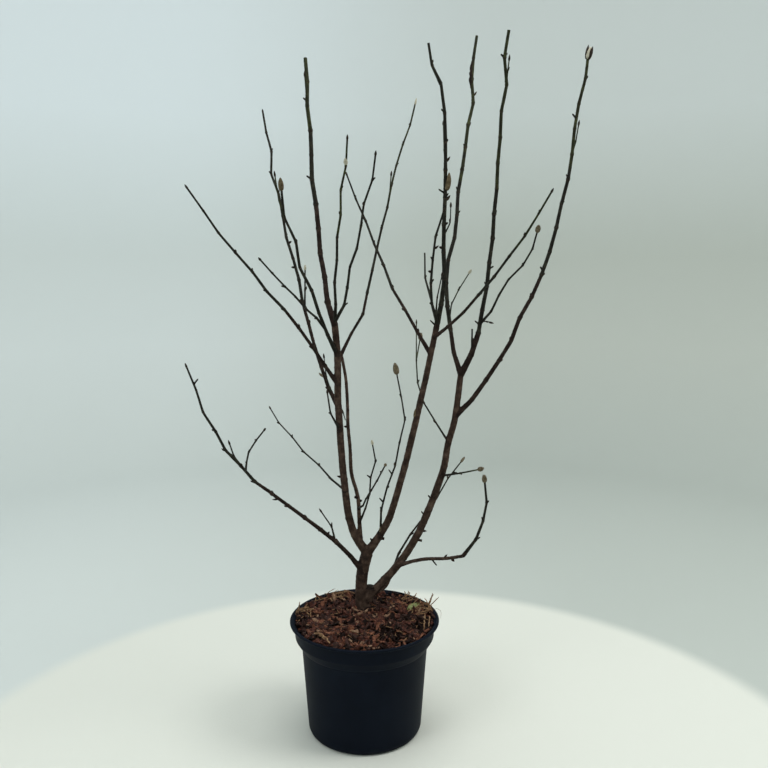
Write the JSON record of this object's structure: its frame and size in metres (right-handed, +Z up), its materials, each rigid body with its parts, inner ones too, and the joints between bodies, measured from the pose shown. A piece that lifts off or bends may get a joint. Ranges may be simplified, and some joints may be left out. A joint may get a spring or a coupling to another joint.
{
  "type": "potted star magnolia",
  "caption": "Bare multi-stemmed flowering shrub in winter, with slender kinked twigs and furry buds, in a round plastic nursery pot topped with bark mulch.",
  "frame": {"origin": "centre of the pot's flat underside, where the pot stands", "axes": "+Z up along the pot's axis, +X to the right of someone who looks at the plant's front, +Y away from them"},
  "size_m": [0.5751, 0.4003, 1.0795],
  "materials": {
    "pot_plastic": "matt black moulded plastic",
    "mulch": "shredded bark mulch",
    "bark": "rough grey-brown bark",
    "shoots": "thin olive-brown bark with furry buds"
  },
  "bodies": {
    "root": {"pot": "pot_plastic", "bark_mulch": "mulch", "trunk": "bark", "left_stem": "bark", "middle_stem": "bark", "right_stem": "bark", "second_stem": "bark", "low_right": "bark", "sucker": "bark", "low_left_bough": "bark", "tall_left_bough": "bark", "back_left_bough": "bark", "outer_left_bough": "bark", "inner_back_bough": "bark", "cross_left_bough": "bark", "cross_right_bough": "bark", "tall_right_bough": "bark", "back_right_bough": "bark", "outer_right_bough": "bark", "low_left_twigs": "shoots", "low_inner_twigs": "shoots", "tall_left_twigs": "shoots", "back_left_twigs": "shoots", "outer_left_twigs": "shoots", "front_left_twigs": "shoots", "inner_left_twigs": "shoots", "inner_back_twigs": "shoots", "stub_left_twigs": "shoots", "low_back_twigs": "shoots", "core_left_twigs": "shoots", "core_front_twigs": "shoots", "core_right_twigs": "shoots", "top_middle_twigs": "shoots", "cross_left_twigs": "shoots", "cross_right_twigs": "shoots", "tall_right_twigs": "shoots", "back_right_twigs": "shoots", "outer_right_twigs": "shoots", "behind_right_twigs": "shoots", "sucker_end_twigs": "shoots", "side_right_twigs": "shoots", "low_right_end_twigs": "shoots"}
  },
  "joints": []
}
